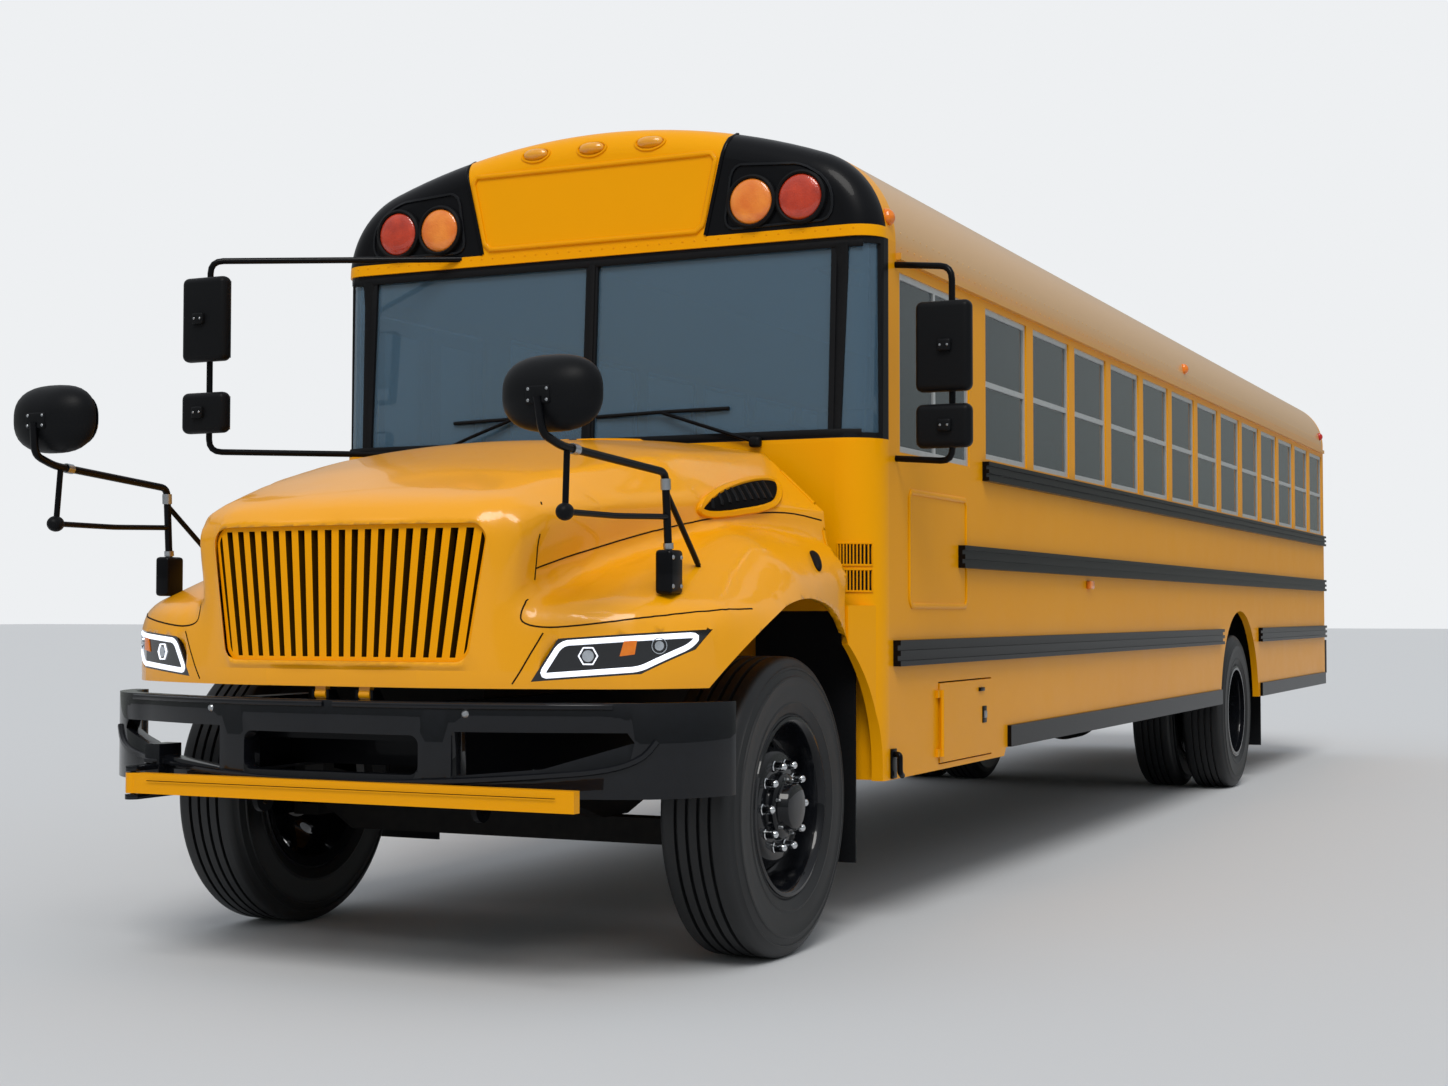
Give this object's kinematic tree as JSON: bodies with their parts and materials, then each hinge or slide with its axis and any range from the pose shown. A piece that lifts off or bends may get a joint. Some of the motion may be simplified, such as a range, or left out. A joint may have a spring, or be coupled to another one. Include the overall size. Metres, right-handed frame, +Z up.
{
  "type": "school bus",
  "caption": "Bonneted school bus with tilting hood, steered front wheels, twin rear wheels, folding entrance door, emergency door, roof hatches and a swinging crossing arm.",
  "frame": {"origin": "on the ground, below the middle of the whole vehicle with its mirrors and rear bumper", "axes": "+X forward along the bus, +Y to the driver's side (left), +Z up"},
  "size_m": [12.65, 3.039, 3.1143],
  "materials": {
    "body_paint": "gloss yellow-orange",
    "roof_paint": "gloss, same paint",
    "black_paint": "satin black",
    "rim_paint": "gloss black",
    "rail_black": "satin black",
    "cast_dark": "rough",
    "spring_steel": "dull",
    "sash_aluminium": "satin",
    "radiator_aluminium": "dull",
    "exhaust_steel": "dull",
    "tank_steel": "satin black",
    "tread": "matt",
    "flap_rubber": "matt",
    "window_glass": "clear, slightly dark",
    "headlight_lens": "clear lens with lit ring",
    "lens_amber": "lens",
    "lens_red": "lens",
    "mirror_shell": "fine grain",
    "wiper_black": "satin",
    "dash_plastic": "grained",
    "seat_vinyl": "vinyl cover",
    "seat_steel": "satin",
    "floor_cover": "ribbed cover",
    "lid_white": "moulded lid"
  },
  "bodies": {
    "bus": {"bench_seats": "seat_vinyl", "crossmembers": "black_paint", "dashboard": "dash_plastic", "driveline": "cast_dark", "driver_seat": "seat_vinyl", "engine_block": "cast_dark", "exhaust": "exhaust_steel", "floor": "floor_cover", "frame_rail_left": "black_paint", "frame_rail_right": "black_paint", "front_axle": "cast_dark", "front_bumper": "black_paint", "front_cap": "body_paint", "front_cowl": "body_paint", "fuel_tank": "tank_steel", "lamps_amber": "lens_amber", "lamps_red": "lens_red", "leaf_springs": "spring_steel", "mud_flaps": "flap_rubber", "radiator": "radiator_aluminium", "rear_axle": "cast_dark", "rear_bumper": "black_paint", "rear_wall": "body_paint", "roof": "roof_paint", "rub_rails": "rail_black", "seat_frames": "seat_steel", "side_mirrors": "mirror_shell", "side_wall_left": "body_paint", "side_wall_right": "body_paint", "step_well": "floor_cover", "wheelhouses": "floor_cover", "window_glass": "window_glass", "window_sashes": "sash_aluminium", "windscreen": "window_glass", "wipers": "wiper_black"},
    "knuckle_left": {"knuckle_left": "cast_dark"},
    "knuckle_right": {"knuckle_right": "cast_dark"},
    "wheel_front_left": {"wheel_front_left": "rim_paint", "tyre_front_left": "tread"},
    "wheel_front_right": {"wheel_front_right": "rim_paint", "tyre_front_right": "tread"},
    "wheels_rear_left": {"wheels_rear_left": "rim_paint", "tyres_rear_left": "tread"},
    "wheels_rear_right": {"wheels_rear_right": "rim_paint", "tyres_rear_right": "tread"},
    "hood": {"hood": "body_paint", "grille": "body_paint", "headlights": "headlight_lens", "fender_mirrors": "mirror_shell"},
    "crossing_arm": {"crossing_arm": "body_paint"},
    "entrance_leaf_front": {"entrance_leaf_front": "black_paint", "entrance_leaf_front_glass": "window_glass"},
    "entrance_leaf_rear": {"entrance_leaf_rear": "black_paint", "entrance_leaf_rear_glass": "window_glass"},
    "rear_door": {"rear_door": "body_paint", "rear_door_glass": "window_glass"},
    "battery_hatch": {"battery_hatch": "body_paint"},
    "roof_hatch_front": {"roof_hatch_front": "lid_white"},
    "roof_hatch_rear": {"roof_hatch_rear": "lid_white"}
  },
  "joints": [
    {"name": "steer_left", "type": "hinge", "parent": "bus", "child": "knuckle_left", "pos_m": [4.925, 0.85, 0.508], "axis": [0, 0, 1], "range_deg": [-40, 40]},
    {"name": "steer_right", "type": "hinge", "parent": "bus", "child": "knuckle_right", "pos_m": [4.925, -0.85, 0.508], "axis": [0, 0, 1], "range_deg": [-40, 40]},
    {"name": "spin_front_left", "type": "hinge", "parent": "knuckle_left", "child": "wheel_front_left", "pos_m": [4.925, 0.977, 0.508], "axis": [0, 1, 0], "continuous": true},
    {"name": "spin_front_right", "type": "hinge", "parent": "knuckle_right", "child": "wheel_front_right", "pos_m": [4.925, -0.977, 0.508], "axis": [0, 1, 0], "continuous": true},
    {"name": "spin_rear_left", "type": "hinge", "parent": "bus", "child": "wheels_rear_left", "pos_m": [-2.54, 0.868, 0.508], "axis": [0, 1, 0], "continuous": true},
    {"name": "spin_rear_right", "type": "hinge", "parent": "bus", "child": "wheels_rear_right", "pos_m": [-2.54, -0.868, 0.508], "axis": [0, 1, 0], "continuous": true},
    {"name": "hood_tilt", "type": "hinge", "parent": "bus", "child": "hood", "pos_m": [5.943, 0, 0.905], "axis": [0, 1, 0], "range_deg": [0, 60]},
    {"name": "crossing_arm_swing", "type": "hinge", "parent": "bus", "child": "crossing_arm", "pos_m": [6.057, -0.752, 0.608], "axis": [0, 0, 1], "range_deg": [-90, 0]},
    {"name": "entrance_front_swing", "type": "hinge", "parent": "bus", "child": "entrance_leaf_front", "pos_m": [4.099, -1.208, 1.5], "axis": [0, 0, 1], "range_deg": [0, 85]},
    {"name": "entrance_rear_swing", "type": "hinge", "parent": "bus", "child": "entrance_leaf_rear", "pos_m": [3.251, -1.208, 1.5], "axis": [0, 0, 1], "range_deg": [-85, 0]},
    {"name": "rear_door_swing", "type": "hinge", "parent": "bus", "child": "rear_door", "pos_m": [-6.248, -0.314, 1.7], "axis": [0, 0, 1], "range_deg": [0, 110]},
    {"name": "battery_hatch_swing", "type": "hinge", "parent": "bus", "child": "battery_hatch", "pos_m": [3.646, 1.204, 0.73], "axis": [0, 0, 1], "range_deg": [-100, 0]},
    {"name": "roof_hatch_front_tilt", "type": "hinge", "parent": "bus", "child": "roof_hatch_front", "pos_m": [1.285, 0, 3.1053], "axis": [0, 1, 0], "range_deg": [0, 75]},
    {"name": "roof_hatch_rear_tilt", "type": "hinge", "parent": "bus", "child": "roof_hatch_rear", "pos_m": [-2.975, 0, 3.1053], "axis": [0, 1, 0], "range_deg": [0, 75]}
  ],
  "couplings": [
    {"joint": "steer_right", "follows": "steer_left", "ratio": 1},
    {"joint": "entrance_rear_swing", "follows": "entrance_front_swing", "ratio": -1}
  ]
}
